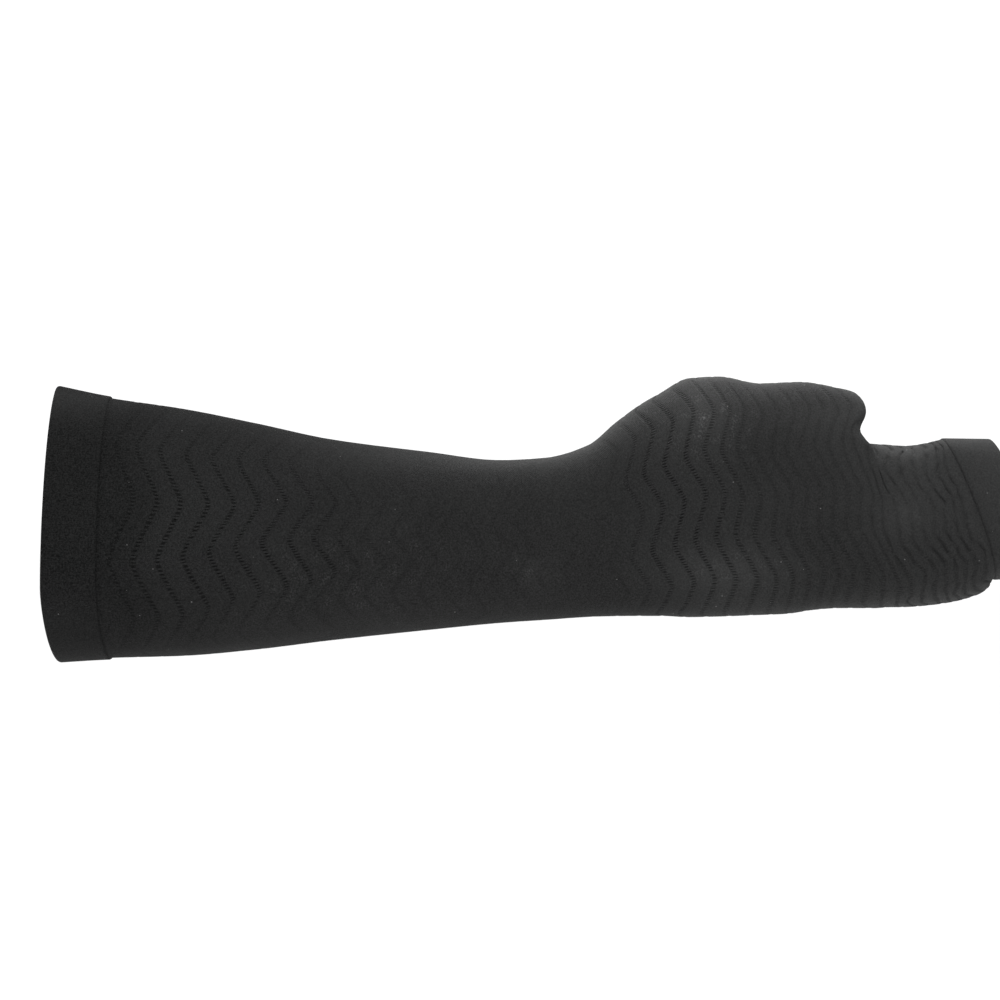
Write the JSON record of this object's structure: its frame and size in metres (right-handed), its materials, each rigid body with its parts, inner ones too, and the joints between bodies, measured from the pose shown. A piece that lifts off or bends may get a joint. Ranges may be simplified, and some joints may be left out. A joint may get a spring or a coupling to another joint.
{
  "type": "slimming arm sleeve",
  "caption": "Black knitted compression sleeve for forearm and hand, in its worn form, with chevron stitch lines, turned welts at both ends and gathers at the fingers.",
  "frame": {"origin": "middle of the wrist, inside the tube, where the sleeve sits on the arm", "axes": "+X along the arm towards the fingers, +Z to the thumb side, -Y to the back of the hand"},
  "size_m": [0.3409, 0.0709, 0.0986],
  "materials": {
    "knit": "matte",
    "welt": "matte"
  },
  "bodies": {
    "root": {"top_cuff": "welt", "knit_tube": "knit", "finger_cuff": "welt"}
  },
  "joints": []
}
